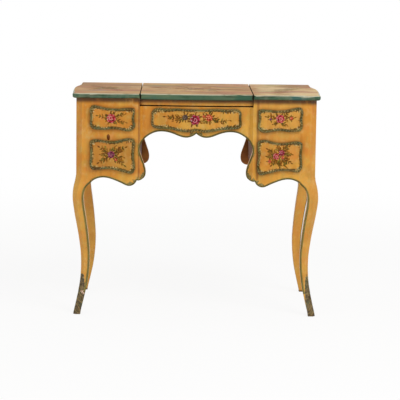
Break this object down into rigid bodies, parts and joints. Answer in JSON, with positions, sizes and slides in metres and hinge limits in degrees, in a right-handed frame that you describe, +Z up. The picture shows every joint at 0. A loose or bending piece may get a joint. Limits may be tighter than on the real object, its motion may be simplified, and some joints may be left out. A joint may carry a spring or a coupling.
{
  "type": "poudreuse dressing table",
  "caption": "Painted dressing table on cabriole legs: side flaps, a centre lid with a mirror, a writing slide and drawers beside a shaped kneehole.",
  "frame": {"origin": "on the floor, in the middle of the outer box", "axes": "+X to the sitter's right, +Y from the front to the back, +Z up"},
  "size_m": [0.8404, 0.4578, 0.75],
  "materials": {
    "ochre_paint": "old painted ochre ground, worn satin",
    "drawer_front_paint": "painted ochre with a raised green rim and flower sprays",
    "top_paint": "worn brown paint with a green moulded edge",
    "inside_wood": "stained softwood",
    "drawer_wood": "plain softwood",
    "hinge_brass": "aged brass",
    "mirror": "old mirror glass",
    "bead_gilt": "painted ochre beading",
    "leather": "aged brown leather"
  },
  "bodies": {
    "case": {"back_panel": "ochre_paint", "case_hinge_leaves": "hinge_brass", "case_hinge_screws": "hinge_brass", "centre_apron": "ochre_paint", "centre_drawer_runners": "inside_wood", "centre_rail": "ochre_paint", "drawer_divider_left": "ochre_paint", "drawer_divider_right": "ochre_paint", "drawer_guides": "inside_wood", "drawer_shelf_left": "inside_wood", "drawer_shelf_right": "inside_wood", "front_leg_left": "ochre_paint", "front_leg_right": "ochre_paint", "glue_blocks": "inside_wood", "hinge_pins": "hinge_brass", "inner_stile_left": "ochre_paint", "inner_stile_right": "ochre_paint", "inner_wall_left": "inside_wood", "inner_wall_right": "inside_wood", "kneehole_wing_left": "ochre_paint", "kneehole_wing_right": "ochre_paint", "pedestal_apron_left": "ochre_paint", "pedestal_apron_right": "ochre_paint", "pedestal_floor_left": "inside_wood", "pedestal_floor_right": "inside_wood", "rear_leg_left": "ochre_paint", "rear_leg_right": "ochre_paint", "side_panel_left": "ochre_paint", "side_panel_right": "ochre_paint", "slide_guides": "inside_wood", "top_rail_left": "ochre_paint", "top_rail_right": "ochre_paint", "tray_floor_left": "inside_wood", "tray_floor_right": "inside_wood"},
    "left_flap": {"flap_left": "top_paint", "flap_hinge_leaves_left": "hinge_brass"},
    "right_flap": {"flap_right": "top_paint", "flap_hinge_leaves_right": "hinge_brass"},
    "mirror_lid": {"centre_lid": "top_paint", "lid_hinge_leaves": "hinge_brass", "mirror_glass": "mirror", "mirror_beading": "bead_gilt"},
    "slide": {"writing_slide": "inside_wood", "slide_front": "ochre_paint", "slide_leather": "leather"},
    "centre_drawer": {"centre_drawer_front": "drawer_front_paint", "centre_drawer_sides": "drawer_wood", "centre_drawer_bottom": "drawer_wood"},
    "upper_left_drawer": {"upper_drawer_front_left": "drawer_front_paint", "upper_drawer_sides_left": "drawer_wood", "upper_drawer_bottom_left": "drawer_wood"},
    "upper_right_drawer": {"upper_drawer_front_right": "drawer_front_paint", "upper_drawer_sides_right": "drawer_wood", "upper_drawer_bottom_right": "drawer_wood"},
    "lower_left_drawer": {"lower_drawer_front_left": "drawer_front_paint", "lower_drawer_sides_left": "drawer_wood", "lower_drawer_bottom_left": "drawer_wood"},
    "lower_right_drawer": {"lower_drawer_front_right": "drawer_front_paint", "lower_drawer_sides_right": "drawer_wood", "lower_drawer_bottom_right": "drawer_wood"}
  },
  "joints": [
    {"name": "left_flap_hinge", "type": "hinge", "parent": "case", "child": "left_flap", "pos_m": [-0.41091, 0, 0.7314], "axis": [0, -1, 0], "range_deg": [0, 95]},
    {"name": "right_flap_hinge", "type": "hinge", "parent": "case", "child": "right_flap", "pos_m": [0.41091, 0, 0.7314], "axis": [0, 1, 0], "range_deg": [0, 95]},
    {"name": "mirror_lid_hinge", "type": "hinge", "parent": "case", "child": "mirror_lid", "pos_m": [0, 0.2252, 0.7274], "axis": [-1, 0, 0], "range_deg": [0, 105]},
    {"name": "slide_runs", "type": "slide", "parent": "case", "child": "slide", "axis": [0, -1, 0], "range_m": [0, 0.25]},
    {"name": "centre_drawer_runs", "type": "slide", "parent": "case", "child": "centre_drawer", "axis": [0, -1, 0], "range_m": [0, 0.28]},
    {"name": "upper_left_drawer_runs", "type": "slide", "parent": "case", "child": "upper_left_drawer", "axis": [0, -1, 0], "range_m": [0, 0.26]},
    {"name": "upper_right_drawer_runs", "type": "slide", "parent": "case", "child": "upper_right_drawer", "axis": [0, -1, 0], "range_m": [0, 0.26]},
    {"name": "lower_left_drawer_runs", "type": "slide", "parent": "case", "child": "lower_left_drawer", "axis": [0, -1, 0], "range_m": [0, 0.26]},
    {"name": "lower_right_drawer_runs", "type": "slide", "parent": "case", "child": "lower_right_drawer", "axis": [0, -1, 0], "range_m": [0, 0.26]}
  ]
}
